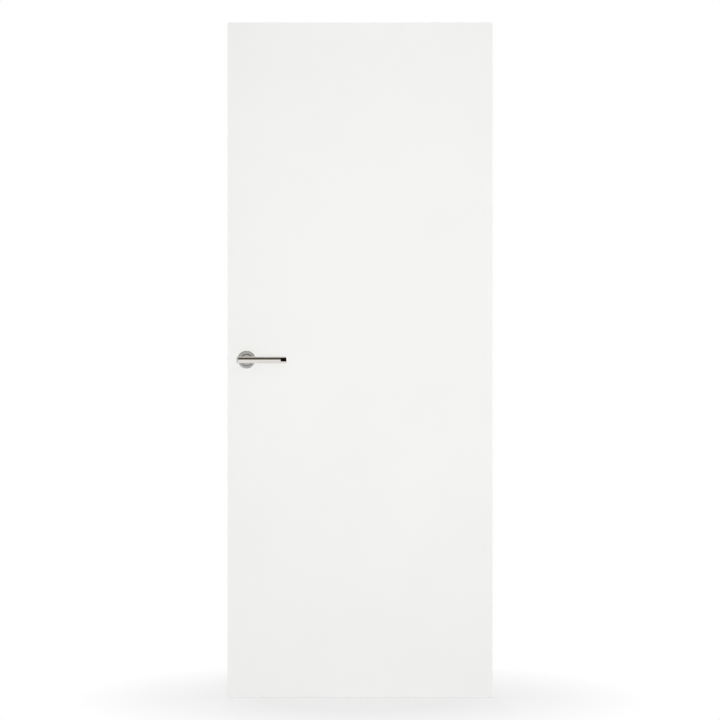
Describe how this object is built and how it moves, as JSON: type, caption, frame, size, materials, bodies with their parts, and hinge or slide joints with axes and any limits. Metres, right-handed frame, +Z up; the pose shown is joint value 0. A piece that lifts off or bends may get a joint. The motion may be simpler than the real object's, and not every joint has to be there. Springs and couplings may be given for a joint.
{
  "type": "flush hardboard interior door leaf",
  "caption": "Flush white hardboard interior door leaf with a flush mortise latch and a straight bar lever on a round rose on each face.",
  "frame": {"origin": "on the hinge edge, at the foot of the leaf and in the middle of its thickness", "axes": "+Z up, +X from the lock edge towards the hinge edge, the front face looks towards -Y"},
  "size_m": [0.83, 0.152, 2.115],
  "materials": {
    "painted_hardboard": "satin",
    "painted_softwood": "satin",
    "bare_softwood": "matte",
    "zinc_plated_steel": "satin",
    "satin_steel": "satin",
    "nickel_plate": "satin",
    "chrome_rose": "polished",
    "nickel_lever": "polished",
    "moulded_nylon": "matte",
    "black_oxide_steel": "satin",
    "black_plastic": "gloss"
  },
  "bodies": {
    "leaf": {"front_skin": "painted_hardboard", "back_skin": "painted_hardboard", "lock_stile": "painted_softwood", "hinge_stile": "painted_softwood", "top_rail": "painted_softwood", "bottom_rail": "painted_softwood", "lock_block": "bare_softwood", "latch_case": "zinc_plated_steel", "forend": "satin_steel", "forend_screws": "zinc_plated_steel", "latch_bolt": "nickel_plate", "front_rose_plate": "moulded_nylon", "back_rose_plate": "moulded_nylon", "front_rose_cover": "chrome_rose", "back_rose_cover": "chrome_rose", "front_rose_screws": "zinc_plated_steel", "back_rose_screws": "zinc_plated_steel", "front_rose_collar": "chrome_rose", "back_rose_collar": "chrome_rose"},
    "lever_set": {"spindle": "zinc_plated_steel", "follower": "zinc_plated_steel", "front_lever_neck": "nickel_lever", "front_lever_grub_screw": "black_oxide_steel", "front_lever_grip": "nickel_lever", "front_lever_heel": "nickel_lever", "front_lever_tip": "nickel_lever", "front_lever_inlay": "black_plastic", "back_lever_neck": "nickel_lever", "back_lever_grub_screw": "black_oxide_steel", "back_lever_grip": "nickel_lever", "back_lever_heel": "nickel_lever", "back_lever_tip": "nickel_lever", "back_lever_inlay": "black_plastic"}
  },
  "joints": [
    {"name": "lever_turn", "type": "hinge", "parent": "leaf", "child": "lever_set", "pos_m": [-0.77, 0, 1.058], "axis": [0, 1, 0], "range_deg": [0, 40], "stiffness_Nm_per_rad": 1.2, "springref_deg": -28.65}
  ]
}
